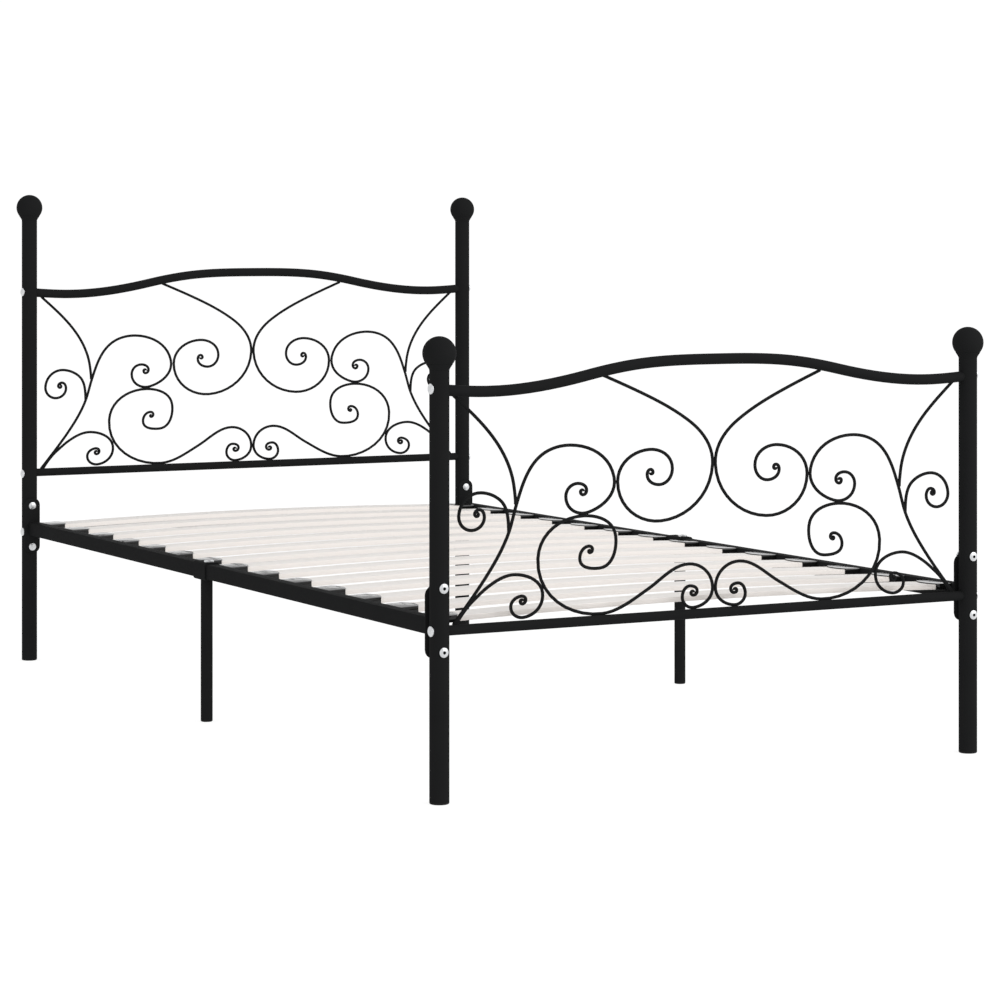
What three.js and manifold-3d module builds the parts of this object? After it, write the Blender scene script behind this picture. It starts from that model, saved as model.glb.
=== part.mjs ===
// A single metal bed frame: round posts with ball finials, arched top rails over bent-rod scrollwork,
// rectangular side rails in two halves joined by a sleeve on the middle leg, and bowed wooden slats.
// Millimetres. +X is the width, +Y points to the head, +Z is up, and the origin is on the floor
// under the middle of the four posts.
import * as THREE from 'three';
import { mergeVertices } from 'three/addons/utils/BufferGeometryUtils.js';
import Module from 'manifold-3d';

const wasm = await Module();
wasm.setup();

// ---- driving dimensions ----
const GAP = 0.3; // between pieces that touch

const POST_SPREAD = 1130; // across the width, axis to axis
const POST_LENGTH = 2075; // along the length, axis to axis
const POST_R = 17.5;
const POST_WALL = 1.5;
const BALL_R = 29.7;
const NECK_DROP = 29.5; // from a ball's centre down to the top of its post
const COLLAR_ANGLE = -39; // degrees below the equator, where the collar starts under the ball
const CAP_H = 5; // the part of a foot cap that shows under its tube
const CAP_EDGE = 2;
const PLUG_H = 20; // the part of a cap or finial that sits inside its tube

const TOP_RAIL_R = 10;
const LOW_RAIL_R = 9;
const TUBE_WALL = 1.2;
const ROD_R = 3;
const ROD_Y = 7; // the rods lie behind the rails' axes, flush with the rails' backs

// Heights of the two ends. The headboard's panel is the footboard's, 134 mm higher.
const HEAD = { side: 1, ballZ: 1046, panelZ: 433, panelBolts: [851, 431, 297], upperBoltZ: 358 };
const FOOT = { side: -1, ballZ: 780, panelZ: 299, panelBolts: [718.5, 299], upperBoltZ: 374 };
const LOWER_BOLT_Z = 263.5;
const BOLT_HOLE_R = 4.25;

const RAIL_X = 561; // centre line of a side rail and of the leg under it
const RAIL_W = 25;
const RAIL_H = 30;
const RAIL_WALL = 1.5;
const RAIL_CORNER = 2.5;
const RAIL_BOTTOM_Z = 290;
const PLATE_T = 3;
const PLATE_W = 36;
const PLATE_CORNER = 15;
const PLATE_BOTTOM_Z = 249.7;
const PLATE_TOP_Z = 375.2;
const EAR_R = 8;

const LEG_R = 12.4;
const LEG_WALL = 1.3;
const SLEEVE_T = 3;
const SLEEVE_FROM_Y = -27;
const SLEEVE_TO_Y = 32.4;
const SEAM_Y = 1.2; // where the two halves of a side rail meet, inside the sleeve
const JOINT_BOLT_Y = -11.5;
const JOINT_BOLT_R = 4;
const JOINT_BOLT_HEAD_R = 10;
const JOINT_BOLT_HEAD_H = 3.5;
const JOINT_NUT_H = 6.5;

const SLATS_PER_HALF = 7;
const FIRST_SLAT_Y = 66; // from the middle to the first slat, either way
const SLAT_PITCH = 151.4;
const SLAT_W = 63;
const SLAT_T = 9.5;
const SLAT_HALF_LENGTH = 538;
const SLAT_END_TOP_Z = 318;
const SLAT_BOW = 9.7;
const HOLDER_W = 66;
const HOLDER_REACH = 34.4; // from the rail's face
const HOLDER_BOTTOM_Z = 307.1; // at the rail
const HOLDER_TOP_Z = 319.6; // at the rail
const HOLDER_TILT = 0.036; // radians: a holder follows the slope of the slat's end
const HOLDER_BULGE = 11; // how far the middle of a holder's inner end stands out

const postX = POST_SPREAD / 2;
const postY = POST_LENGTH / 2;
const railTopZ = RAIL_BOTTOM_Z + RAIL_H;
const railMidZ = RAIL_BOTTOM_Z + RAIL_H / 2;

// ---- materials ----
const blackCoat = new THREE.MeshStandardMaterial({ color: 0x202021, roughness: 0.45, metalness: 0.35 });
const blackPlastic = new THREE.MeshStandardMaterial({ color: 0x18181a, roughness: 0.5, metalness: 0 });
const zinc = new THREE.MeshStandardMaterial({ color: 0xb4b6b8, roughness: 0.35, metalness: 0.9 });
const paleWood = new THREE.MeshStandardMaterial({ color: 0xe6e0d8, roughness: 0.55, metalness: 0 });

// ---- solids ----
function toSolid(geometry) {
  const bare = geometry.clone();
  bare.deleteAttribute('normal');
  bare.deleteAttribute('uv');
  const merged = mergeVertices(bare, 1e-4);
  const vertProperties = new Float32Array(merged.attributes.position.array);
  const triVerts = new Uint32Array(merged.index.array);
  return new wasm.Manifold(new wasm.Mesh({ numProp: 3, vertProperties, triVerts }));
}

function toGeometry(solid) {
  const mesh = solid.getMesh();
  const geometry = new THREE.BufferGeometry();
  geometry.setAttribute('position', new THREE.BufferAttribute(new Float32Array(mesh.vertProperties), 3));
  geometry.setIndex(new THREE.BufferAttribute(new Uint32Array(mesh.triVerts), 1));
  const faceted = geometry.toNonIndexed();
  faceted.computeVertexNormals();
  return faceted;
}

function join(...geometries) {
  return toGeometry(geometries.map(toSolid).reduce((whole, solid) => whole.add(solid)));
}

function cut(geometry, cutters) {
  return toGeometry(cutters.map(toSolid).reduce((whole, solid) => whole.subtract(solid), toSolid(geometry)));
}

// A round bar along X, Y or Z with its middle at a point.
function bar(axis, radius, length, center, segments) {
  const geometry = new THREE.CylinderGeometry(radius, radius, length, segments);
  if (axis === 'x') geometry.rotateZ(Math.PI / 2);
  if (axis === 'z') geometry.rotateX(Math.PI / 2);
  return geometry.translate(...center);
}

// A solid of revolution about Z, from [radius, z] pairs that climb its outside.
function turned(profile, segments) {
  const points = profile.map(([radius, z]) => new THREE.Vector2(radius, z));
  return new THREE.LatheGeometry(points, segments).rotateX(Math.PI / 2);
}

function roundTube(radius, wall, bottom, top, segments) {
  const inner = radius - wall;
  const outline = [[inner, bottom], [radius, bottom], [radius, top], [inner, top], [inner, bottom]];
  return turned(outline, segments);
}

function roundedRect(path, width, height, radius) {
  const x = width / 2 - radius;
  const y = height / 2 - radius;
  path.moveTo(width / 2, -y);
  path.absarc(x, y, radius, 0, Math.PI / 2);
  path.absarc(-x, y, radius, Math.PI / 2, Math.PI);
  path.absarc(-x, -y, radius, Math.PI, 1.5 * Math.PI);
  path.absarc(x, -y, radius, 1.5 * Math.PI, 2 * Math.PI);
  return path;
}

// An outline in the XZ plane, carried along Y from one end to the other.
function alongY(shape, fromY, toY, curveSegments = 2) {
  const options = { depth: toY - fromY, bevelEnabled: false, curveSegments };
  return new THREE.ExtrudeGeometry(shape, options).rotateX(Math.PI / 2).translate(0, toY, 0);
}

// A rectangular tube along Y on the side rail's centre line, as much larger than the rail as asked.
function railTube(larger, wall, fromY, toY) {
  const width = RAIL_W + 2 * larger;
  const height = RAIL_H + 2 * larger;
  const corner = RAIL_CORNER + larger;
  const section = roundedRect(new THREE.Shape(), width, height, corner);
  section.holes.push(roundedRect(new THREE.Path(), width - 2 * wall, height - 2 * wall, corner - wall));
  return alongY(section, fromY, toY).translate(0, 0, railMidZ);
}

// ---- bent bars ----
function wrap(angle) {
  return THREE.MathUtils.euclideanModulo(angle + Math.PI, 2 * Math.PI) - Math.PI;
}

// A bar bent in the XZ plane through stations [x, z, heading in degrees]. Between two stations it
// follows the cubic whose handles give a round arc wherever the two headings allow one.
class BentBar extends THREE.Curve {
  constructor(stations, y, degreesPerStep) {
    super();
    this.pieces = [];
    let heading = THREE.MathUtils.degToRad(stations[0][2]);
    for (let i = 1; i < stations.length; i += 1) {
      const turn = wrap(THREE.MathUtils.degToRad(stations[i][2]) - heading);
      const curve = BentBar.bend(stations[i - 1], stations[i], y, heading, turn);
      const steps = Math.max(2, Math.round(THREE.MathUtils.radToDeg(Math.abs(turn)) / degreesPerStep));
      this.pieces.push({ curve, steps });
      heading += turn;
    }
    this.steps = this.pieces.reduce((sum, piece) => sum + piece.steps, 0);
  }

  static bend([x0, z0], [x1, z1], y, heading, turn) {
    const handle = Math.hypot(x1 - x0, z1 - z0) / (3 * Math.cos(turn / 4) ** 2);
    const out = [handle * Math.cos(heading), handle * Math.sin(heading)];
    const back = [handle * Math.cos(heading + turn), handle * Math.sin(heading + turn)];
    return new THREE.CubicBezierCurve3(
      new THREE.Vector3(x0, y, z0),
      new THREE.Vector3(x0 + out[0], y, z0 + out[1]),
      new THREE.Vector3(x1 - back[0], y, z1 - back[1]),
      new THREE.Vector3(x1, y, z1),
    );
  }

  getPoint(t, target = new THREE.Vector3()) {
    let left = t * this.steps;
    let index = 0;
    while (index < this.pieces.length - 1 && left > this.pieces[index].steps) {
      left -= this.pieces[index].steps;
      index += 1;
    }
    return this.pieces[index].curve.getPoint(left / this.pieces[index].steps, target);
  }

  // The steps follow the bends, so that a tight curl gets as many of them as a wide sweep.
  getUtoTmapping(u) {
    return u;
  }
}

function polygon(path, radius, sides) {
  const angles = Array.from({ length: sides }, (_, i) => (2 * Math.PI * i) / sides);
  path.setFromPoints(angles.map((a) => new THREE.Vector2(radius * Math.cos(a), radius * Math.sin(a))));
  path.closePath();
  return path;
}

function bent(stations, y, { radius, wall, sides, degreesPerStep }) {
  const section = polygon(new THREE.Shape(), radius, sides);
  if (wall) section.holes.push(polygon(new THREE.Path(), radius - wall, sides));
  const extrudePath = new BentBar(stations, y, degreesPerStep);
  return new THREE.ExtrudeGeometry(section, { steps: extrudePath.steps, extrudePath, bevelEnabled: false });
}

function mirrored(stations) {
  return stations.map(([x, z, heading]) => [-x, z, 180 - heading]);
}

// ---- the panel's bends, left half ----
// Stations are [x from the panel's middle, z above the bottom rail's axis, heading].

// The top rail dips beside the post and rises to a level crown in the middle.
const ARCH = [[-556, 417, -4.5], [-468, 412.7, 0], [-268, 437, 12.2], [-150, 455.9, 5.2], [0, 460.6, 0]];
const ARCH_TUBE = { radius: TOP_RAIL_R, wall: TUBE_WALL, sides: 10, degreesPerStep: 3.5 };

const ROD = { radius: ROD_R, wall: 0, sides: 5, degreesPerStep: 33 };

// From the lower corner up, over and round to a curl.
const STEM = [
  [-532, 10.8, 51], [-456, 107, 55.5], [-425.5, 161, 67], [-409, 212.5, 71], [-395, 250, 66],
  [-364.5, 293, 39.5], [-300, 313, -1.5], [-210.5, 253, -78], [-263.5, 192.5, 195], [-309.5, 221.5, 91],
  [-285.5, 244.5, 0], [-267, 231.5, -92], [-274.5, 224, 180], [-279.5, 229.5, 90], [-276, 232.5, 0],
  [-273.8, 230, -100],
];
// From under the top rail down on to the stem.
const BRACE = [[-530.5, 403.3, -41.5], [-450, 324.5, -53], [-413.5, 240.5, -83], [-411, 212.5, -91]];
// The curl between the stem and the post.
const SIDE_CURL = [
  [-424.5, 163, 92], [-441.5, 221, 141], [-480, 235.5, 177], [-523.5, 196.5, -93], [-496.5, 170.5, 3],
  [-473, 192, 88], [-483, 206, 180], [-492, 198.5, -90], [-488, 194.5, 0], [-484.8, 197.5, 90],
  [-487, 200, 180],
];
// The curl over the bottom rail, from where it leaves the stem.
const LOW_CURL = [
  [-491.5, 50.9, 38], [-471, 67, 34], [-411, 89, -3], [-356.5, 47, -95], [-395, 13, 185],
  [-420.5, 32, 92], [-400.5, 50.5, 7], [-390.5, 44, -90], [-397.5, 37, 180], [-401.5, 41, 90],
  [-398.3, 44, 0], [-396, 41.8, -100],
];
// The long S that rests on the bottom rail, with a curl at either end.
const LONG_S = [
  [-260, 124.4, 180], [-262.7, 122.6, -80], [-259.8, 120.5, 10], [-255, 126, 91], [-262, 132, 180],
  [-281, 111, -90], [-240, 92, 3], [-207, 147, 97], [-272.5, 186.5, 180], [-366, 115, -93],
  [-234.5, 10.6, 3], [-141, 48.5, 28.5], [-54, 90, 0], [-3, 46, -88], [-44.5, 10.6, 182],
  [-67.5, 32, 86], [-51.5, 50, 0], [-36, 40.5, -89], [-43.5, 33, 181], [-49, 37, 90],
  [-45.8, 40.2, 0], [-43.4, 37.8, -100],
];
// From under the top rail to the middle, where it meets its mirror image, and back to a curl.
const HEART = [
  [-228, 433, -22], [-126, 390, -25], [-50.5, 347.5, -35], [-3, 269.5, -93], [-113, 170.5, 183],
  [-203, 244.5, 90], [-136.5, 300, 2], [-88.5, 264.5, -89], [-116, 236, 180], [-141.5, 254.5, 92],
  [-134.3, 264, 0], [-129.3, 259, -90], [-132.4, 256, 180], [-134.8, 258.4, 80],
];

// ---- geometry of the sub-parts ----

// A ball with a short collar and a plug, its centre at the origin.
function finial() {
  const shoulder = GAP - NECK_DROP;
  const plugR = POST_R - POST_WALL - GAP;
  const profile = [[0, shoulder - PLUG_H], [plugR, shoulder - PLUG_H], [plugR, shoulder], [POST_R, shoulder]];
  const from = THREE.MathUtils.degToRad(COLLAR_ANGLE);
  const steps = 7;
  for (let i = 0; i < steps; i += 1) {
    const angle = from + (i / steps) * (Math.PI / 2 - from);
    profile.push([BALL_R * Math.cos(angle), BALL_R * Math.sin(angle)]);
  }
  return turned([...profile, [0, BALL_R]], 20);
}

// A cap with its flat sole at the origin and its plug up inside a tube.
function footCap(tubeR, wall) {
  const plugR = tubeR - wall - GAP;
  const rim = CAP_H - GAP;
  const outside = [[0, 0], [tubeR - CAP_EDGE, 0], [tubeR, CAP_EDGE], [tubeR, rim]];
  return turned([...outside, [plugR, rim], [plugR, rim + PLUG_H], [0, rim + PLUG_H]], 14);
}

// A post on its own axis, drilled across for the panel's bolts and lengthwise for the side rail's.
function post({ ballZ, panelBolts, upperBoltZ }) {
  const tube = roundTube(POST_R, POST_WALL, CAP_H, ballZ - NECK_DROP, 20);
  const across = panelBolts.map((z) => bar('x', BOLT_HOLE_R, 3 * POST_R, [0, 0, z], 6));
  const lengthwise = [LOWER_BOLT_Z, upperBoltZ].map((z) => bar('y', BOLT_HOLE_R, 3 * POST_R, [0, 0, z], 6));
  return cut(tube, [...across, ...lengthwise]);
}

// A cross tube with its ends coped to the posts.
function coped(geometry) {
  const tall = 2 * HEAD.ballZ;
  const posts = [-postX, postX].map((x) => bar('z', POST_R + GAP, tall, [x, 0, 0], 20));
  return cut(geometry, posts);
}

function straightRail() {
  const halfLength = postX - POST_R / 2;
  const tube = roundTube(LOW_RAIL_R, TUBE_WALL, -halfLength, halfLength, 12);
  return coped(tube.rotateY(Math.PI / 2));
}

function archedRail() {
  const rightHalf = mirrored(ARCH).map(([x, z, heading]) => [x, z, heading + 180]).reverse();
  return coped(bent([...ARCH, ...rightHalf.slice(1)], 0, ARCH_TUBE));
}

function rod(stations, side) {
  return bent(side < 0 ? stations : mirrored(stations), ROD_Y, ROD);
}

function stemWithBranches(side) {
  return join(rod(STEM, side), rod(BRACE, side), rod(SIDE_CURL, side));
}

// The plate that bolts to a post. At the foot an ear carries its upper bolt.
function endPlate({ side, upperBoltZ }) {
  const near = side * (postY - POST_R - GAP);
  const [fromY, toY] = [near, near - side * PLATE_T].sort((a, b) => a - b);
  const midY = (fromY + toY) / 2;
  const outline = roundedRect(new THREE.Shape(), PLATE_W, PLATE_TOP_Z - PLATE_BOTTOM_Z, PLATE_CORNER);
  const plate = alongY(outline, fromY, toY, 3).translate(0, 0, (PLATE_TOP_Z + PLATE_BOTTOM_Z) / 2);
  const ear = bar('y', EAR_R, PLATE_T, [0, midY, upperBoltZ], 12);
  const holes = [LOWER_BOLT_Z, upperBoltZ].map((z) => bar('y', BOLT_HOLE_R, 3 * PLATE_T, [0, midY, z], 6));
  return cut(join(plate, ear), holes);
}

function headHalfRail(side) {
  const tube = railTube(0, RAIL_WALL, SEAM_Y + GAP / 2, postY - POST_R - PLATE_T).translate(side * RAIL_X, 0, 0);
  return join(tube, endPlate(HEAD).translate(side * postX, 0, 0));
}

// The foot half carries the joint bolt's nut, welded under its top wall.
function footHalfRail(side) {
  const tube = railTube(0, RAIL_WALL, -(postY - POST_R - PLATE_T), SEAM_Y - GAP / 2);
  const nutTopZ = railTopZ - RAIL_WALL / 2;
  const nut = bar('z', 2 * JOINT_BOLT_R, JOINT_NUT_H, [0, JOINT_BOLT_Y, nutTopZ - JOINT_NUT_H / 2], 6);
  const hole = bar('z', BOLT_HOLE_R, RAIL_H, [0, JOINT_BOLT_Y, railTopZ], 8);
  const drilled = cut(join(tube, nut), [hole]).translate(side * RAIL_X, 0, 0);
  return join(drilled, endPlate(FOOT).translate(side * postX, 0, 0));
}

// The leg carries a sleeve that both halves of the side rail slide into.
function middleLeg() {
  const reach = GAP + SLEEVE_T;
  const tube = roundTube(LEG_R, LEG_WALL, CAP_H, RAIL_BOTTOM_Z - reach + SLEEVE_T / 2, 16);
  const sleeve = railTube(reach, SLEEVE_T, SLEEVE_FROM_Y, SLEEVE_TO_Y);
  const hole = bar('z', BOLT_HOLE_R, RAIL_H, [0, JOINT_BOLT_Y, railTopZ + reach], 8);
  return cut(join(tube, sleeve), [hole]);
}

function jointBolt() {
  const headZ = railTopZ + SLEEVE_T + 2 * GAP;
  const headTopZ = headZ + JOINT_BOLT_HEAD_H;
  const shankR = JOINT_BOLT_R - GAP / 2;
  const shankBottomZ = railTopZ - 2 * JOINT_NUT_H;
  const shank = [[0, shankBottomZ], [shankR, shankBottomZ], [shankR, headZ]];
  const head = [[JOINT_BOLT_HEAD_R, headZ], [JOINT_BOLT_HEAD_R, headTopZ - 1], [JOINT_BOLT_HEAD_R - 1, headTopZ]];
  return turned([...shank, ...head, [0, headTopZ]], 14);
}

// A bowed slat with the two plastic holders that grip its ends.
function slat() {
  const radius = (SLAT_HALF_LENGTH ** 2 + SLAT_BOW ** 2) / (2 * SLAT_BOW);
  const centreZ = SLAT_END_TOP_Z + SLAT_BOW - radius;
  const reach = Math.asin(SLAT_HALF_LENGTH / radius);
  const outline = new THREE.Shape();
  outline.absarc(0, centreZ, radius, Math.PI / 2 - reach, Math.PI / 2 + reach, false);
  outline.absarc(0, centreZ, radius - SLAT_T, Math.PI / 2 + reach, Math.PI / 2 - reach, true);
  const strip = alongY(outline, -SLAT_W / 2, SLAT_W / 2, 4);
  return join(strip, holder(-1), holder(1));
}

// A closed holder round a slat's end, with a convex inner end, tilted with the slat.
function holder(side) {
  const outer = RAIL_X - RAIL_W / 2 - GAP;
  const inner = outer - HOLDER_REACH;
  const y = HOLDER_W / 2;
  const outline = new THREE.Shape();
  outline.moveTo(outer, -y);
  outline.lineTo(outer, y);
  outline.lineTo(inner, y);
  outline.quadraticCurveTo(inner - 2 * HOLDER_BULGE, 0, inner, -y);
  const height = HOLDER_TOP_Z - HOLDER_BOTTOM_Z;
  const options = { depth: height, bevelEnabled: false, curveSegments: 6 };
  const block = new THREE.ExtrudeGeometry(outline, options).translate(-outer, 0, -height);
  block.rotateY(HOLDER_TILT).translate(outer, 0, HOLDER_TOP_Z);
  return side > 0 ? block : block.rotateZ(Math.PI);
}

// ---- the assembly ----
const bed = new THREE.Group();
const SIDES = [['left', -1], ['right', 1]];

function add(parent, name, geometry, material, x = 0, y = 0, z = 0) {
  const mesh = new THREE.Mesh(geometry, material);
  mesh.name = name;
  mesh.position.set(x, y, z);
  parent.add(mesh);
}

function addPosts(parent, end, label) {
  for (const [hand, side] of SIDES) {
    const at = [side * postX, 0];
    add(parent, `${label}_post_${hand}`, post(end), blackCoat, ...at, 0);
    add(parent, `${label}_finial_${hand}`, finial(), blackCoat, ...at, end.ballZ);
    add(parent, `${label}_cap_${hand}`, footCap(POST_R, POST_WALL), blackPlastic, ...at, 0);
  }
}

function addPanel(parent, end, label) {
  const panel = new THREE.Group();
  panel.position.z = end.panelZ;
  parent.add(panel);
  add(panel, `${label}_top_rail`, archedRail(), blackCoat);
  add(panel, `${label}_bottom_rail`, straightRail(), blackCoat);
  for (const [hand, side] of SIDES) {
    add(panel, `${label}_stem_${hand}`, stemWithBranches(side), blackCoat);
    add(panel, `${label}_low_curl_${hand}`, rod(LOW_CURL, side), blackCoat);
    add(panel, `${label}_long_s_${hand}`, rod(LONG_S, side), blackCoat);
    add(panel, `${label}_heart_${hand}`, rod(HEART, side), blackCoat);
  }
}

for (const [label, end] of [['head', HEAD], ['foot', FOOT]]) {
  const board = new THREE.Group();
  board.position.y = end.side * postY;
  bed.add(board);
  addPosts(board, end, label);
  addPanel(board, end, label);
  if (label === 'head') add(board, 'head_slat_level_bar', straightRail(), blackCoat, 0, 0, FOOT.panelZ);
}

for (const [hand, side] of SIDES) {
  add(bed, `rail_head_half_${hand}`, headHalfRail(side), blackCoat);
  add(bed, `rail_foot_half_${hand}`, footHalfRail(side), blackCoat);
  add(bed, `middle_leg_${hand}`, middleLeg(), blackCoat, side * RAIL_X);
  add(bed, `middle_leg_cap_${hand}`, footCap(LEG_R, LEG_WALL), blackPlastic, side * RAIL_X);
  add(bed, `joint_bolt_${hand}`, jointBolt(), zinc, side * RAIL_X, JOINT_BOLT_Y);
}

for (let i = 0; i < 2 * SLATS_PER_HALF; i += 1) {
  const fromMiddle = i - SLATS_PER_HALF + 0.5;
  const y = Math.sign(fromMiddle) * (FIRST_SLAT_Y + (Math.abs(fromMiddle) - 0.5) * SLAT_PITCH);
  add(bed, `slat_${String(i + 1).padStart(2, '0')}`, slat(), paleWood, 0, y);
}

export default bed;
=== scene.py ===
import math

import bmesh
import bpy
from mathutils import Matrix, Vector


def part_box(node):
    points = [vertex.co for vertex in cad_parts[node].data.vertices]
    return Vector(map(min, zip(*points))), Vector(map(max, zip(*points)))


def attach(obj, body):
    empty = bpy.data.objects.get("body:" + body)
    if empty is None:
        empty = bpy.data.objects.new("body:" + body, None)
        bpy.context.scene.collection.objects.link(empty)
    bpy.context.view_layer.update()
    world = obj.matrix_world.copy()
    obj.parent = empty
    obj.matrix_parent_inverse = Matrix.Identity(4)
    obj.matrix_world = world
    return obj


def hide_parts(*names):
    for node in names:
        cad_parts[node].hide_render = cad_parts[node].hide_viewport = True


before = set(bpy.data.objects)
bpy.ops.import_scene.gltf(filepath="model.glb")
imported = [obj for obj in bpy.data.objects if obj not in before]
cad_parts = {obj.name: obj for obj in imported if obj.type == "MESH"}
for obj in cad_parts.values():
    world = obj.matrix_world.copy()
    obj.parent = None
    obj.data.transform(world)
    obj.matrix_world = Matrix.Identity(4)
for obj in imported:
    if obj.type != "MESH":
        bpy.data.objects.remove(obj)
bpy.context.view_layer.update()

MM = 0.001
SIDES = {"left": -1, "right": 1}


def middle(node):
    """The middle of a CAD node's box."""
    low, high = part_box(node)
    return (low + high) / 2


def size(node):
    """The extents of a CAD node's box."""
    low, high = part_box(node)
    return high - low


# ---- driving dimensions, from the model where it has them ----
WELD_DEPTH = 0.2 * MM  # how far a welded tube reaches into its plate
EASE = 0.3 * MM  # the rounding of a small rim
POST_R = size("head_post_right").x / 2
POST_X = middle("head_post_right").x
POST_Y = middle("head_post_right").y
POST_WALL = 1.5 * MM
CAP_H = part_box("head_post_right")[0].z
CAP_EDGE = 2.4 * MM
LEG_R = size("middle_leg_cap_right").x / 2
LEG_WALL = 1.3 * MM
LEG_SINK = 0.5 * MM  # how far a leg reaches into the wall of its sleeve
RAIL_X = middle("middle_leg_cap_right").x
RAIL_W = 25 * MM
RAIL_BOTTOM = 290 * MM
RAIL_TOP = 320 * MM
RAIL_WALL = 1.5 * MM
RAIL_CORNER = 2.5 * MM
SEAM_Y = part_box("rail_head_half_right")[0].y
SEAM_GAP = 0.6 * MM
SLEEVE_T = 3 * MM
SLEEVE_PLAY = 0.3 * MM  # added to the sleeve's wall, round the rail
SLEEVE_FROM_Y, SLEEVE_TO_Y = (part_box("middle_leg_right")[i].y for i in (0, 1))
PLATE_T = 3 * MM
PLATE_NEAR = POST_Y - POST_R - PLATE_T
PLATE_W = 36 * MM
PLATE_LOW, PLATE_HIGH = 249.7 * MM, 375.2 * MM
PLATE_CORNER = 15 * MM
PLATE_EASE = 0.6 * MM
EAR_R = 8 * MM
LOWER_BOLT = 263.5 * MM
CROSS_SINK = 1.2 * MM  # how far a cross bolt's head sits into the round post
TOP_RAIL_R = 10 * MM
LOW_RAIL_R = size("foot_bottom_rail").z / 2
BAR_SHORT = 13 * MM  # from a post's axis to the end of a bar between the posts
ROD_R = 3 * MM
ROD_Y = 7 * MM  # the panels' rods stand this far from the posts' axes, towards the head
# Each end's place along y, and the heights of its ball's middle, its panel's bottom rail, its upper
# long bolt and its cross bolts.
HEAD = {"y": POST_Y, "ball": 1046 * MM, "panel": middle("head_bottom_rail").z, "upper": 358 * MM,
        "side_bolts": (851 * MM, 431 * MM, 297 * MM)}
FOOT = {"y": -POST_Y, "ball": 780 * MM, "panel": middle("foot_bottom_rail").z, "upper": 374 * MM,
        "side_bolts": (718.5 * MM, 299 * MM)}
ENDS = {"head": HEAD, "foot": FOOT}
BALL_R = size("head_finial_right").x / 2
NECK_DROP = 29.5 * MM
PLUG_LENGTH = 12 * MM
PLUG_THIN = 2 * MM  # how much thinner than the post a finial's plug is, all round
SLAT_HALF = 538 * MM
SLAT_W = 63 * MM
SLAT_T = 9.5 * MM
SLAT_END_TOP = 318 * MM
SLAT_BOW = 9.7 * MM
SLAT_PLIES = 7
HOLDER_W = 66 * MM
HOLDER_REACH = 34.4 * MM
HOLDER_LOW, HOLDER_TOP = 307.1 * MM, 319.6 * MM
HOLDER_TILT = 0.036
HOLDER_BULGE = 11 * MM
HOLDER_ROOF = 1.7 * MM
HOLDER_EASE = 0.7 * MM

# ---- the panel's bends, left half, in mm and degrees ----
# Each station is (x from the middle, z above the bottom rail's axis, heading in the panel's plane).
ARCH = [(-552, 416.7, -4.5), (-468, 412.7, 0), (-268, 437, 12.2), (-150, 455.9, 5.2), (0, 460.6, 0)]
BENDS = {
    "stem": [
        (-534.5, 7.7, 50), (-456, 107, 55.5), (-425.5, 161, 67), (-409, 212.5, 71), (-395, 250, 66),
        (-364.5, 293, 39.5), (-300, 313, -1.5), (-210.5, 253, -78), (-263.5, 192.5, 195),
        (-309.5, 221.5, 91), (-285.5, 244.5, 0), (-267, 231.5, -92), (-274.5, 224, 180), (-279.5, 229.5, 90),
        (-276, 232.5, 0), (-273.8, 230, -100)],
    "brace": [(-533.5, 406.5, -41), (-450, 324.5, -53), (-413.5, 240.5, -83), (-411, 212.5, -91)],
    "side_curl": [
        (-424.5, 163, 92), (-441.5, 221, 141), (-480, 235.5, 177), (-523.5, 196.5, -93),
        (-496.5, 170.5, 3), (-473, 192, 88), (-483, 206, 180), (-492, 198.5, -90), (-488, 194.5, 0),
        (-484.8, 197.5, 90), (-487, 200, 180)],
    "low_curl": [
        (-529.5, 7.7, 57), (-491.5, 50.9, 38), (-471, 67, 34), (-411, 89, -3), (-356.5, 47, -95),
        (-395, 13, 185), (-420.5, 32, 92), (-400.5, 50.5, 7), (-390.5, 44, -90), (-397.5, 37, 180),
        (-401.5, 41, 90), (-398.3, 44, 0), (-396, 41.8, -100)],
    "long_s": [
        (-260, 124.4, 180), (-262.7, 122.6, -80), (-259.8, 120.5, 10), (-255, 126, 91),
        (-262, 132, 180), (-281, 111, -90), (-240, 92, 3), (-207, 147, 97), (-272.5, 186.5, 180),
        (-366, 115, -93), (-234.5, 10.6, 3), (-141, 48.5, 28.5), (-54, 90, 0), (-3, 46, -88),
        (-44.5, 10.6, 182), (-67.5, 32, 86), (-51.5, 50, 0), (-36, 40.5, -89), (-43.5, 33, 181),
        (-49, 37, 90), (-45.8, 40.2, 0), (-43.4, 37.8, -100)],
    "heart": [
        (-231.5, 434.8, -22), (-126, 390, -25), (-50.5, 347.5, -35), (-3, 269.5, -93),
        (-113, 170.5, 183), (-203, 244.5, 90), (-136.5, 300, 2), (-88.5, 264.5, -89), (-116, 236, 180),
        (-141.5, 254.5, 92), (-134.3, 264, 0), (-129.3, 259, -90), (-132.4, 256, 180),
        (-134.8, 258.4, 80)],
}


# ---- materials ----
NOISE_LOW, NOISE_HIGH = 0.3, 0.7  # most of a noise's values lie between these


def node_material(name, roughness=0.5, metallic=0.0, specular=0.5):
    """A new material, with its node tree and its Principled shader."""
    material = bpy.data.materials.new(name)
    material.use_nodes = True
    shader = material.node_tree.nodes["Principled BSDF"]
    shader.inputs["Roughness"].default_value = roughness
    shader.inputs["Metallic"].default_value = metallic
    shader.inputs["Specular IOR Level"].default_value = specular
    return material, material.node_tree, shader


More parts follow.
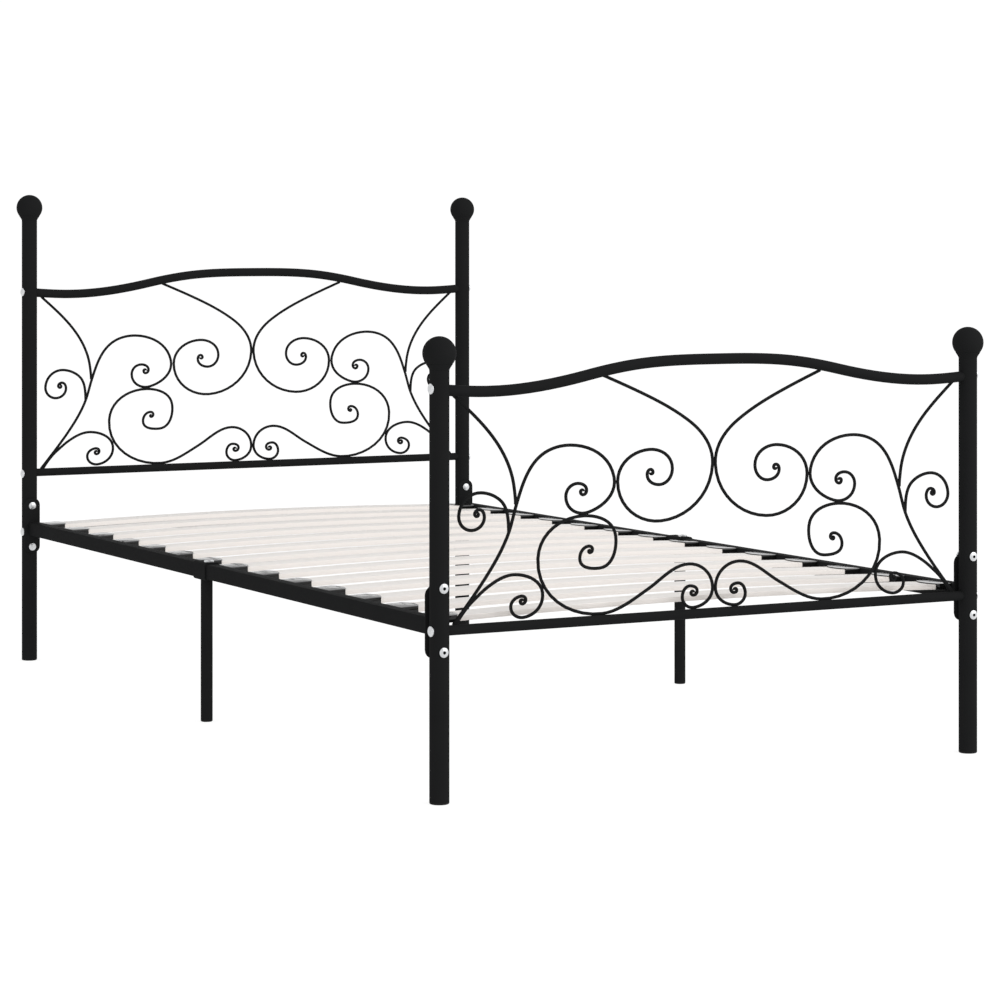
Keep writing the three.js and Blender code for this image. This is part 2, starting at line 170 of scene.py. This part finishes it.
def noise(tree, scale, stretch=(1, 1, 1), detail=4.0):
    """A noise over the piece's own coordinates, in features per metre."""
    coordinates = tree.nodes.new("ShaderNodeTexCoord")
    mapping = tree.nodes.new("ShaderNodeMapping")
    mapping.inputs["Scale"].default_value = stretch
    texture = tree.nodes.new("ShaderNodeTexNoise")
    texture.inputs["Scale"].default_value = scale
    texture.inputs["Detail"].default_value = detail
    tree.links.new(coordinates.outputs["Object"], mapping.inputs["Vector"])
    tree.links.new(mapping.outputs["Vector"], texture.inputs["Vector"])
    return texture.outputs["Fac"]


def ramp(tree, source, stops):
    """A colour that follows a value, through (value, colour) stops."""
    node = tree.nodes.new("ShaderNodeValToRGB")
    elements = node.color_ramp.elements
    while len(elements) < len(stops):
        elements.new(0.5)
    for element, (at, colour) in zip(elements, stops):
        element.position = at
        element.color = (*colour, 1)
    tree.links.new(source, node.inputs["Fac"])
    return node.outputs["Color"]


def two_tones(tree, source, dark, light):
    """A colour between two, following a noise."""
    return ramp(tree, source, [(NOISE_LOW, dark), (NOISE_HIGH, light)])


def grey(value):
    return (value, value, value)


def between(tree, source, low, high):
    """A number between two, following a noise."""
    node = tree.nodes.new("ShaderNodeMapRange")
    node.inputs["From Min"].default_value = NOISE_LOW
    node.inputs["From Max"].default_value = NOISE_HIGH
    node.inputs["To Min"].default_value = low
    node.inputs["To Max"].default_value = high
    tree.links.new(source, node.inputs["Value"])
    return node.outputs["Result"]


def bump(tree, shader, source, distance, strength):
    """Relief that follows a noise, as deep as the distance."""
    node = tree.nodes.new("ShaderNodeBump")
    node.inputs["Distance"].default_value = distance
    node.inputs["Strength"].default_value = strength
    tree.links.new(source, node.inputs["Height"])
    tree.links.new(node.outputs["Normal"], shader.inputs["Normal"])


def powder_coat():
    """Matt black powder coat: a fine orange peel with a faint cloud in its colour and sheen."""
    material, tree, shader = node_material("powder_coat", specular=0.004)
    cloud = noise(tree, scale=9, detail=6)
    black = two_tones(tree, cloud, (0.0106, 0.0108, 0.0111), (0.012, 0.0122, 0.0125))
    tree.links.new(black, shader.inputs["Base Color"])
    tree.links.new(between(tree, noise(tree, scale=120), 0.5, 0.6), shader.inputs["Roughness"])
    bump(tree, shader, noise(tree, scale=1500, detail=2), distance=0.03 * MM, strength=0.3)
    return material


def moulded_plastic():
    """Black moulded nylon with a fine spark-eroded grain."""
    material, tree, shader = node_material("moulded_plastic", specular=0.015)
    black = two_tones(tree, noise(tree, scale=40), grey(0.0115), grey(0.0135))
    tree.links.new(black, shader.inputs["Base Color"])
    tree.links.new(between(tree, noise(tree, scale=220), 0.44, 0.56), shader.inputs["Roughness"])
    bump(tree, shader, noise(tree, scale=2600, detail=2), distance=0.04 * MM, strength=0.4)
    return material


def glossy_plastic():
    """Black plastic from a polished mould, a little uneven in its gloss."""
    material, tree, shader = node_material("glossy_plastic", specular=0.35)
    black = two_tones(tree, noise(tree, scale=60), grey(0.004), grey(0.0055))
    tree.links.new(black, shader.inputs["Base Color"])
    tree.links.new(between(tree, noise(tree, scale=90), 0.06, 0.1), shader.inputs["Roughness"])
    return material


def zinc():
    """Zinc plated steel, slightly mottled."""
    material, tree, shader = node_material("zinc", metallic=1.0)
    metal = two_tones(tree, noise(tree, scale=260), (0.52, 0.53, 0.54), (0.68, 0.69, 0.7))
    tree.links.new(metal, shader.inputs["Base Color"])
    tree.links.new(between(tree, noise(tree, scale=900), 0.26, 0.42), shader.inputs["Roughness"])
    return material


def slat_face():
    """Pale lacquered veneer with long faint streaks and a fine pore along the slat."""
    material, tree, shader = node_material("slat_face", specular=0.35)
    streak = noise(tree, scale=10, stretch=(0.16, 5.5, 5.5), detail=7)
    sheen = noise(tree, scale=60, stretch=(0.1, 4, 4))
    pore = noise(tree, scale=240, stretch=(0.03, 3, 3))
    colours = [(0.3, (0.567, 0.535, 0.509)), (0.52, (0.64, 0.611, 0.587)), (0.75, (0.669, 0.643, 0.621))]
    tree.links.new(ramp(tree, streak, colours), shader.inputs["Base Color"])
    tree.links.new(between(tree, sheen, 0.36, 0.5), shader.inputs["Roughness"])
    bump(tree, shader, pore, distance=0.08 * MM, strength=0.4)
    return material


def slat_edge():
    """The slat's cut edge: thin plies one over another, with a darker line every second ply."""
    material, tree, shader = node_material("slat_edge", roughness=0.55, specular=0.3)
    coordinates = tree.nodes.new("ShaderNodeTexCoord")
    split = tree.nodes.new("ShaderNodeSeparateXYZ")
    plies = tree.nodes.new("ShaderNodeMath")
    plies.operation = "PINGPONG"
    plies.inputs[1].default_value = 0.5
    tree.links.new(coordinates.outputs["UV"], split.inputs["Vector"])
    tree.links.new(split.outputs["Y"], plies.inputs[0])
    colours = [(0.0, (0.62, 0.57, 0.525)), (0.14, (0.715, 0.675, 0.643)), (1.0, (0.745, 0.71, 0.68))]
    tree.links.new(ramp(tree, plies.outputs["Value"], colours), shader.inputs["Base Color"])
    grain = noise(tree, scale=400, stretch=(0.2, 1, 3))
    bump(tree, shader, grain, distance=0.1 * MM, strength=0.4)
    return material


def socket_painted_shade():
    """Painted shade: a near-black colour inside a bolt's socket, standing in for the shade that falls in the
    recess.
    """
    material, tree, shader = node_material("socket_painted_shade", roughness=0.7, specular=0.1)
    black = two_tones(tree, noise(tree, scale=500), grey(0.004), grey(0.008))
    tree.links.new(black, shader.inputs["Base Color"])
    return material


COAT = powder_coat()
PLASTIC = moulded_plastic()
GLOSS = glossy_plastic()
ZINC = zinc()
SLAT_FACE = slat_face()
SLAT_EDGE = slat_edge()
# Painted shade: the near-black socket material stands in for the shade inside the bolts' sockets.
SOCKET_PAINTED_SHADE = socket_painted_shade()


# ---- pieces ----
def place(name, data, materials, at, turn=None, replaces=()):
    """A new piece that rides on the frame, and stands for the CAD nodes that it replaces."""
    if not data.materials:
        for material in materials:
            data.materials.append(material)
    obj = bpy.data.objects.new(name, data)
    bpy.context.scene.collection.objects.link(obj)
    obj.matrix_world = Matrix.Translation(at) @ (turn or Matrix.Identity(4))
    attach(obj, "root")
    if replaces:
        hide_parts(*replaces)


def shaded(mesh, sharp=35):
    """The mesh shaded smooth, apart from edges that turn more than an angle in degrees."""
    mesh.shade_smooth()
    mesh.set_sharp_from_angle(angle=math.radians(sharp))
    return mesh


def finished_mesh(name, bm, sharp=35):
    """A shaded mesh from a bmesh, its faces all turned outwards."""
    bmesh.ops.recalc_face_normals(bm, faces=bm.faces)
    mesh = bpy.data.meshes.new(name)
    bm.to_mesh(mesh)
    bm.free()
    return shaded(mesh, sharp)


def flat_sided(radius, angle, flats):
    """How far out a hexagon, or another regular polygon, lies at an angle. Its corners are at the radius."""
    if not flats:
        return radius
    sector = 2 * math.pi / flats
    return radius * math.cos(sector / 2) / math.cos(angle % sector - sector / 2)


def turned(name, profile, segments=48, sharp=35):
    """A solid of revolution about Z, from (radius, z) points, or (radius, z, flats) for a polygon.
    A profile that starts off the axis closes on itself."""
    bm = bmesh.new()
    on_axis = profile[0][0] == 0
    rings = []
    for radius, z, *flats in profile:
        if radius == 0:
            rings.append([bm.verts.new((0, 0, z))])
            continue
        angles = [2 * math.pi * i / segments for i in range(segments)]
        reach = [flat_sided(radius, a, flats[0] if flats else 0) for a in angles]
        rings.append([bm.verts.new((r * math.cos(a), r * math.sin(a), z)) for r, a in zip(reach, angles)])
    pairs = list(zip(rings, rings[1:]))
    if not on_axis:
        pairs.append((rings[-1], rings[0]))
    for low, high in pairs:
        for i in range(segments):
            j = (i + 1) % segments
            corners = [low[i % len(low)], low[j % len(low)], high[j % len(high)], high[i % len(high)]]
            bm.faces.new(list(dict.fromkeys(corners)))
    return finished_mesh(name, bm, sharp)


def arc(cx, cz, radius, start, end, steps):
    """Points on an arc, in degrees."""
    angles = [math.radians(start + (end - start) * i / steps) for i in range(steps + 1)]
    return [(cx + radius * math.cos(a), cz + radius * math.sin(a)) for a in angles]


def rounded_rect(width, height, radius, steps=5):
    """A rectangle about the origin with rounded corners, each of a few steps."""
    x, z = width / 2 - radius, height / 2 - radius
    corners = [(x, z, 0), (-x, z, 90), (-x, -z, 180), (x, -z, 270)]
    return [p for cx, cz, start in corners for p in arc(cx, cz, radius, start, start + 90, steps)]


def prism(name, outline, from_y, to_y, bevel=0.0, hole=None):
    """An outline in the XZ plane carried along Y, with eased edges or a hole right through."""
    bm = bmesh.new()
    loops = [outline] + ([hole] if hole else [])
    rings = [[[bm.verts.new((x, y, z)) for x, z in loop] for y in (from_y, to_y)] for loop in loops]
    for near, far in rings:
        for i in range(len(near)):
            j = (i + 1) % len(near)
            bm.faces.new((near[i], near[j], far[j], far[i]))
    if hole:
        for end in (0, 1):
            outer, inner = rings[0][end], rings[1][end]
            for i in range(len(outer)):
                j = (i + 1) % len(outer)
                bm.faces.new((outer[i], outer[j], inner[j], inner[i]))
    else:
        caps = [bm.faces.new(ring) for ring in rings[0]]
        if bevel:
            edges = {edge for face in caps for edge in face.edges}
            bmesh.ops.bevel(bm, geom=list(edges), offset=bevel, segments=3, affect="EDGES", profile=0.5)
    return finished_mesh(name, bm)


def wrap(angle):
    """The same angle, between minus and plus half a turn."""
    return (angle + math.pi) % (2 * math.pi) - math.pi


def bent_bar(name, stations, radius, round_steps=6):
    """A round bar bent through stations in the XZ plane: a curve with a round section, made a mesh."""
    curve = bpy.data.curves.new(name, "CURVE")
    curve.dimensions = "3D"
    curve.bevel_depth = radius
    curve.bevel_resolution = round_steps
    curve.resolution_u = 10
    curve.use_fill_caps = True
    spline = curve.splines.new("BEZIER")
    spline.bezier_points.add(len(stations) - 1)
    knots = [(Vector((x * MM, 0, z * MM)), math.radians(heading)) for x, z, heading in stations]
    for point, (at, _) in zip(spline.bezier_points, knots):
        point.co = point.handle_left = point.handle_right = at
    for i, ((a, start), (b, end)) in enumerate(zip(knots, knots[1:])):
        handle = (b - a).length / (3 * math.cos(wrap(end - start) / 4) ** 2)
        leave = Vector((math.cos(start), 0, math.sin(start)))
        arrive = Vector((math.cos(end), 0, math.sin(end)))
        spline.bezier_points[i].handle_right = a + leave * handle
        spline.bezier_points[i + 1].handle_left = b - arrive * handle
    path = bpy.data.objects.new(name, curve)
    mesh = bpy.data.meshes.new_from_object(path)
    bpy.data.objects.remove(path)
    return shaded(mesh, 50)


def mirrored(stations):
    """The left half's stations, turned over to the right half."""
    return [(-x, z, 180 - heading) for x, z, heading in stations]


# ---- posts, finials and caps ----
def finial_profile():
    """A plug, a tapered collar, a fine groove where the ball sits on it, and the ball."""
    plug_r = POST_R - PLUG_THIN
    foot = -NECK_DROP - PLUG_LENGTH
    plug = [(plug_r, foot), (plug_r, -NECK_DROP), (POST_R - 0.2 * MM, -NECK_DROP)]
    collar = [(POST_R + 0.1 * MM, -NECK_DROP + 0.4 * MM), (POST_R + 0.7 * MM, -27.2 * MM),
              (POST_R + 2.4 * MM, -24.2 * MM), (23 * MM, -19.8 * MM)]
    groove = [(23.1 * MM, -19.4 * MM), (22.8 * MM, -19 * MM)]
    groove_angle = -39
    ball = arc(0, 0, BALL_R, groove_angle, 90, 32)
    return [(0, foot)] + plug + collar + groove + ball[:-1] + [(0, BALL_R)]


def cap_profile(radius):
    """A flat sole with a rounded edge, up to where the tube begins."""
    sole = arc(radius - CAP_EDGE, CAP_EDGE, CAP_EDGE, -90, 0, 6)
    return [(0, 0)] + sole + [(radius, CAP_H - EASE), (radius - 1 * MM, CAP_H), (0, CAP_H)]


def tube_profile(radius, wall, low, high):
    """An open tube between two heights."""
    return [(radius - wall, low), (radius, low), (radius, high), (radius - wall, high)]


def make_posts():
    finial = turned("finial", finial_profile(), 64, 50)
    cap = turned("post_cap", cap_profile(POST_R), 48)
    for end, spec in ENDS.items():
        profile = tube_profile(POST_R, POST_WALL, CAP_H, spec["ball"] - NECK_DROP)
        tube = turned(f"{end}_post", profile, 64)
        for hand, side in SIDES.items():
            at = Vector((side * POST_X, spec["y"], 0))
            up = at + Vector((0, 0, spec["ball"]))
            place(f"{end}_post_tube_{hand}", tube, [COAT], at, replaces=[f"{end}_post_{hand}"])
            place(f"{end}_ball_{hand}", finial, [COAT], up, replaces=[f"{end}_finial_{hand}"])
            place(f"{end}_foot_cap_{hand}", cap, [PLASTIC], at, replaces=[f"{end}_cap_{hand}"])


# ---- panels ----
def make_panels():
    right_half = [(x, z, heading + 180) for x, z, heading in reversed(mirrored(ARCH))]
    arch = bent_bar("top_rail_bend", ARCH + right_half[1:], TOP_RAIL_R, 14)
    reach = (POST_X - BAR_SHORT) / MM
    bar = bent_bar("cross_bar", [(-reach, 0, 0), (reach, 0, 0)], LOW_RAIL_R, 14)
    rods = {(hand, name): bent_bar(f"{name}_{hand}", stations if side < 0 else mirrored(stations), ROD_R)
            for hand, side in SIDES.items() for name, stations in BENDS.items()}
    for end, spec in ENDS.items():
        at = Vector((0, spec["y"], spec["panel"]))
        place(f"{end}_arched_rail", arch, [COAT], at, replaces=[f"{end}_top_rail"])
        place(f"{end}_low_rail", bar, [COAT], at, replaces=[f"{end}_bottom_rail"])
        for (hand, name), rod in rods.items():
            stands_for = [f"{end}_{name}_{hand}"] if name not in ("brace", "side_curl") else []
            place(f"{end}_rod_{name}_{hand}", rod, [COAT], at + Vector((0, ROD_Y, 0)),
                  replaces=stands_for)
    low = Vector((0, HEAD["y"], FOOT["panel"]))
    place("head_low_bar", bar, [COAT], low, replaces=["head_slat_level_bar"])


# ---- side rails, legs and joints ----
def plate_outline(ear):
    """The end plate about its middle, with or without the ear that carries a high bolt."""
    height = PLATE_HIGH - PLATE_LOW
    outline = rounded_rect(PLATE_W, height, PLATE_CORNER, 8)
    if not ear:
        return outline
    ear_z = FOOT["upper"] - (PLATE_HIGH + PLATE_LOW) / 2
    flat_top = height / 2 - 1.2 * MM
    kept = [(x, z) for x, z in outline if z < flat_top]
    split = next(i for i, (x, _) in enumerate(kept) if x < 0)
    return kept[:split] + arc(0, ear_z, EAR_R, 5, 175, 10) + kept[split:]


def make_side_rails():
    outer = rounded_rect(RAIL_W, RAIL_TOP - RAIL_BOTTOM, RAIL_CORNER)
    inner = rounded_rect(RAIL_W - 2 * RAIL_WALL, RAIL_TOP - RAIL_BOTTOM - 2 * RAIL_WALL, RAIL_CORNER / 2)
    mid_z = (RAIL_TOP + RAIL_BOTTOM) / 2
    plate_z = (PLATE_HIGH + PLATE_LOW) / 2
    far = PLATE_NEAR + WELD_DEPTH
    spans = {"head": (SEAM_Y, far), "foot": (-far, SEAM_Y - SEAM_GAP)}
    for end, (low, high) in spans.items():
        tube = prism(f"rail_{end}_half", outer, low, high, hole=inner)
        outline = plate_outline(end == "foot")
        plate = prism(f"plate_{end}", outline, -PLATE_T / 2, PLATE_T / 2, PLATE_EASE)
        plate_y = math.copysign(PLATE_NEAR + PLATE_T / 2, ENDS[end]["y"])
        for hand, side in SIDES.items():
            at = Vector((side * RAIL_X, 0, mid_z))
            place(f"side_rail_{end}_{hand}", tube, [COAT], at,
                  replaces=[f"rail_{end}_half_{hand}"])
            place(f"end_plate_{end}_{hand}", plate, [COAT], (side * POST_X, plate_y, plate_z))


def make_legs():
    """Each middle leg carries a sleeve that both halves of the side rail slide into."""
    cap = turned("leg_cap", cap_profile(LEG_R), 40)
    reach = SLEEVE_T + SLEEVE_PLAY
    tube = turned("leg_tube", tube_profile(LEG_R, LEG_WALL, CAP_H, RAIL_BOTTOM - reach + LEG_SINK), 48)
    height = RAIL_TOP - RAIL_BOTTOM
    outer = rounded_rect(RAIL_W + 2 * reach, height + 2 * reach, RAIL_CORNER + reach)
    inner = rounded_rect(RAIL_W, height, RAIL_CORNER)
    sleeve = prism("joint_sleeve", outer, SLEEVE_FROM_Y, SLEEVE_TO_Y, hole=inner)
    up = Vector((0, 0, (RAIL_TOP + RAIL_BOTTOM) / 2))
    for hand, side in SIDES.items():
        at = Vector((side * RAIL_X, 0, 0))
        place(f"leg_{hand}", tube, [COAT], at, replaces=[f"middle_leg_{hand}"])
        place(f"leg_cap_{hand}", cap, [PLASTIC], at, replaces=[f"middle_leg_cap_{hand}"])
        place(f"sleeve_{hand}", sleeve, [COAT], at + up)


# ---- bolts ----
ROOT_Z = -1 * MM  # a head's underside, a little inside the tube that it sits on
HEXAGON = 6
SHOULDER = 0.76  # where the dome of a button head starts, as a share of its radius


def button_head(name, radius, height, flange, socket_r=0.0):
    """A flanged head about Z, its flange on z = 0, with a hexagon socket sunk in it if it has one, its
    inside painted shade.
    """
    profile = [(0, ROOT_Z), (radius - EASE, ROOT_Z), (radius, EASE), (radius, flange - 0.4 * MM),
               (radius - 0.5 * MM, flange)]
    shoulder, rise = radius * SHOULDER, height - flange
    rim_angle, step, count = 4, 10, 8 if socket_r else 9
    angles = [math.radians(rim_angle + step * i) for i in range(count)]
    profile += [(shoulder * math.cos(a), flange + rise * math.sin(a)) for a in angles]
    top = profile[-1][1]
    if socket_r:
        chamfer_r, chamfer_h, depth, drill_point = socket_r * 1.18, 0.2 * MM, 2.6 * MM, 0.2 * MM
        profile += [(chamfer_r, top, HEXAGON), (socket_r, top - chamfer_h, HEXAGON),
                    (socket_r, top - depth, HEXAGON)]
        top -= depth + drill_point
    mesh = turned(name, profile + [(0, top)], 48)
    for face in mesh.polygons:
        above_root = face.center.z > ROOT_Z + 0.1 * MM
        # Faces inside the socket take the second material, the painted shade of the recess.
        face.material_index = int(above_root and face.center.xy.length < socket_r)
    return mesh


def facing(direction):
    """Turns a piece made about Z to face along a direction."""
    return Vector(direction).to_track_quat("Z", "Y").to_matrix().to_4x4()


def domed_head():
    """A plain domed head about Z, as the cross bolts have."""
    radius, height = 9.8 * MM, 4.5 * MM
    dome = [(radius * math.cos(a), height * math.sin(a)) for a in map(math.radians, range(0, 90, 9))]
    return turned("cross_bolt_head", [(0, ROOT_Z), (radius - EASE, ROOT_Z), *dome, (0, height)])


def flange_nut():
    """A hexagon nut about Z on a round flange."""
    flange_r, flange_h = 8.5 * MM, 1.2 * MM
    nut_r, nut_low, nut_high = 6.9 * MM, 1.8 * MM, 7 * MM
    top_r, top = 5.4 * MM, 7.6 * MM
    profile = [(0, 0), (flange_r, 0), (flange_r, flange_h), (nut_r, nut_low, HEXAGON),
               (nut_r, nut_high, HEXAGON), (top_r, top), (0, top)]
    return turned("flange_nut", profile, 48, 20)


def make_bolts():
    cross_head = domed_head()
    long_head = button_head("long_bolt_head", 8.6 * MM, 2.6 * MM, flange=1.1 * MM, socket_r=2.6 * MM)
    nuts = {"head": button_head("sleeve_nut", 8.4 * MM, 2.8 * MM, flange=1.3 * MM), "foot": flange_nut()}
    plate_face = POST_R + PLATE_T
    for end, spec in ENDS.items():
        outward = math.copysign(1, spec["y"])
        for hand, side in SIDES.items():
            for i, z in enumerate(spec["side_bolts"]):
                at = (side * (POST_X + POST_R - CROSS_SINK), spec["y"], z)
                place(f"cross_bolt_{end}_{hand}_{i}", cross_head, [ZINC], at, facing((side, 0, 0)))
            for level, z in (("upper", spec["upper"]), ("lower", LOWER_BOLT)):
                at = (side * POST_X, spec["y"] + outward * POST_R, z)
                back = (side * POST_X, spec["y"] - outward * plate_face, z)
                place(f"long_bolt_{end}_{hand}_{level}", long_head, [ZINC, SOCKET_PAINTED_SHADE], at,
                      facing((0, outward, 0)))
                place(f"long_nut_{end}_{hand}_{level}", nuts[end], [ZINC], back,
                      facing((0, -outward, 0)))
    joint = button_head("joint_head", 10 * MM, 3.5 * MM, flange=3.2 * MM, socket_r=3 * MM)
    sleeve_top = RAIL_TOP + SLEEVE_T + 0.5 * MM
    for hand, side in SIDES.items():
        at = (side * RAIL_X, middle(f"joint_bolt_{hand}").y, sleeve_top)
        place(f"joint_head_{hand}", joint, [ZINC, SOCKET_PAINTED_SHADE], at, replaces=[f"joint_bolt_{hand}"])


# ---- slats ----
def slat_mesh():
    """A bowed strip with eased long edges. Its V counts the plies in pairs, from the bottom up."""
    bm = bmesh.new()
    uv = bm.loops.layers.uv.new("plies")
    radius = (SLAT_HALF ** 2 + SLAT_BOW ** 2) / (2 * SLAT_BOW)
    reach = math.degrees(math.asin(SLAT_HALF / radius))
    steps = 28
    ease = 1.2 * MM
    nearly_level = 0.8
    section = rounded_rect(SLAT_W, SLAT_T, ease, 3)
    rings = []
    for x, z in arc(0, SLAT_END_TOP + SLAT_BOW - radius, radius, 90 + reach, 90 - reach, steps):
        rings.append([bm.verts.new((x, y, z - SLAT_T / 2 + dz)) for y, dz in section])
    for a, b in zip(rings, rings[1:]):
        for i in range(len(a)):
            bm.faces.new((a[i], a[(i + 1) % len(a)], b[(i + 1) % len(a)], b[i]))
    for ring in (rings[0], rings[-1]):
        bm.faces.new(ring)
    mid = {v: z for ring in rings for v, (_, z) in zip(ring, section)}
    for face in bm.faces:
        face.normal_update()
        face.material_index = 0 if abs(face.normal.z) > nearly_level else 1
        for loop in face.loops:
            loop[uv].uv = (loop.vert.co.x, SLAT_PLIES / 2 * (mid[loop.vert] / SLAT_T + 0.5))
    return finished_mesh("slat", bm, 50)


def cut(name, body, tool):
    """The body mesh less the tool mesh."""
    solid, knife = (bpy.data.objects.new(name, mesh) for mesh in (body, tool))
    for obj in (solid, knife):
        bpy.context.scene.collection.objects.link(obj)
    modifier = solid.modifiers.new("slot", "BOOLEAN")
    modifier.operation = "DIFFERENCE"
    modifier.solver = "EXACT"
    modifier.object = knife
    result = bpy.data.meshes.new_from_object(solid.evaluated_get(bpy.context.evaluated_depsgraph_get()))
    for obj in (solid, knife):
        bpy.data.objects.remove(obj)
    result.name = name
    return shaded(result)


def slab(name, outline, low, high, bevel=0.0):
    """An outline in the XY plane between two heights, with its rims eased."""
    bm = bmesh.new()
    rings = [[bm.verts.new((x, y, z)) for x, y in outline] for z in (low, high)]
    rims = [edge for ring in rings for edge in bm.faces.new(ring).edges]
    for i in range(len(outline)):
        j = (i + 1) % len(outline)
        bm.faces.new((rings[0][i], rings[0][j], rings[1][j], rings[1][i]))
    if bevel:
        bmesh.ops.bevel(bm, geom=rims, offset=bevel, segments=3, affect="EDGES", profile=0.5)
    return finished_mesh(name, bm)


def holder_mesh():
    """A closed cover over the slat's right end, tilted with the slat: slotted, its inner end bowed out."""
    outer = RAIL_X - RAIL_W / 2
    half = HOLDER_W / 2
    steps = 16
    across = [half * (1 - 2 * i / steps) for i in range(steps + 1)]
    bowed = [(-HOLDER_REACH - HOLDER_BULGE * (1 - (y / half) ** 2), y) for y in across]
    height = HOLDER_TOP - HOLDER_LOW
    body = slab("holder_body", [(0, -half), (0, half)] + bowed, -height, 0, HOLDER_EASE)
    room = SLAT_W / 2 + 0.2 * MM
    back, front = -2 * MM, -HOLDER_REACH - 2 * HOLDER_BULGE
    slot = [(front, -room), (back, -room), (back, room), (front, room)]
    slot_height = SLAT_T + 0.6 * MM
    tool = slab("slot", slot, -HOLDER_ROOF - slot_height, -HOLDER_ROOF)
    mesh = cut("slat_holder", body, tool)
    mesh.transform(Matrix.Translation((outer, 0, HOLDER_TOP)) @ Matrix.Rotation(HOLDER_TILT, 4, "Y"))
    return mesh


def make_slats():
    """Slats where the CAD has them, each pressed into a holder on either side rail."""
    names = sorted(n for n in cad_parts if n.startswith("slat_"))
    strip = slat_mesh()
    holder = holder_mesh()
    half_turn = Matrix.Rotation(math.pi, 4, "Z")
    for name in names:
        at = Vector((0, middle(name).y, 0))
        number = name.removeprefix("slat_")
        place(f"slat_strip_{number}", strip, [SLAT_FACE, SLAT_EDGE], at, replaces=[name])
        place(f"holder_right_{number}", holder, [GLOSS], at)
        place(f"holder_left_{number}", holder, [GLOSS], at, half_turn)


# ---- the stage ----
CAMERA_AT = (-3.0465, -5.8673, 0.9899)
CAMERA_YAW = math.radians(28.302)
CAMERA_LENS = 112.89
CAMERA_SENSOR = 36
CAMERA_SHIFT = -0.268
CAMERA_SEES = 100
KEY_AT = (3.2, -4.5, 3.6)
KEY_TOWARDS = (0, 0, 0.4)
KEY_WIDTH = 6.0
KEY_POWER = 187
FLOOR_HALF = 30
FLOOR_GREY = 0.2
FLOOR_GLOW = 0.84
SURROUNDINGS = 1.03


def make_camera():
    camera = bpy.data.objects.new("camera", bpy.data.cameras.new("camera"))
    camera.location = CAMERA_AT
    camera.rotation_euler = (math.pi / 2, 0, -CAMERA_YAW)
    camera.data.lens = CAMERA_LENS
    camera.data.sensor_width = CAMERA_SENSOR
    camera.data.shift_y = CAMERA_SHIFT
    camera.data.clip_end = CAMERA_SEES
    bpy.context.scene.collection.objects.link(camera)
    bpy.context.scene.camera = camera


def make_light():
    """One wide soft lamp, above the foot end's right."""
    light = bpy.data.lights.new("key", "AREA")
    light.shape = "DISK"
    light.size = KEY_WIDTH
    light.energy = KEY_POWER
    obj = bpy.data.objects.new("key", light)
    obj.location = KEY_AT
    obj.rotation_euler = (Vector(KEY_TOWARDS) - Vector(KEY_AT)).to_track_quat("-Z", "Y").to_euler()
    bpy.context.scene.collection.objects.link(obj)


def make_stage():
    """A pale floor with a little glow of its own, white surroundings and the lamp."""
    bm = bmesh.new()
    bmesh.ops.create_grid(bm, x_segments=2, y_segments=2, size=FLOOR_HALF)
    floor = bpy.data.objects.new("floor", finished_mesh("floor", bm))
    material, _, shader = node_material("pale_floor", roughness=0.9, specular=0.0)
    shader.inputs["Base Color"].default_value = (*grey(FLOOR_GREY), 1)
    shader.inputs["Emission Color"].default_value = (1, 1, 1, 1)
    shader.inputs["Emission Strength"].default_value = FLOOR_GLOW
    floor.data.materials.append(material)
    bpy.context.scene.collection.objects.link(floor)
    world = bpy.data.worlds.new("studio")
    world.use_nodes = True
    background = world.node_tree.nodes["Background"]
    background.inputs["Color"].default_value = (1, 1, 1, 1)
    background.inputs["Strength"].default_value = SURROUNDINGS
    bpy.context.scene.world = world
    make_light()
    bpy.context.scene.view_settings.view_transform = "Standard"


make_posts()
make_panels()
make_side_rails()
make_legs()
make_bolts()
make_slats()
make_camera()
make_stage()
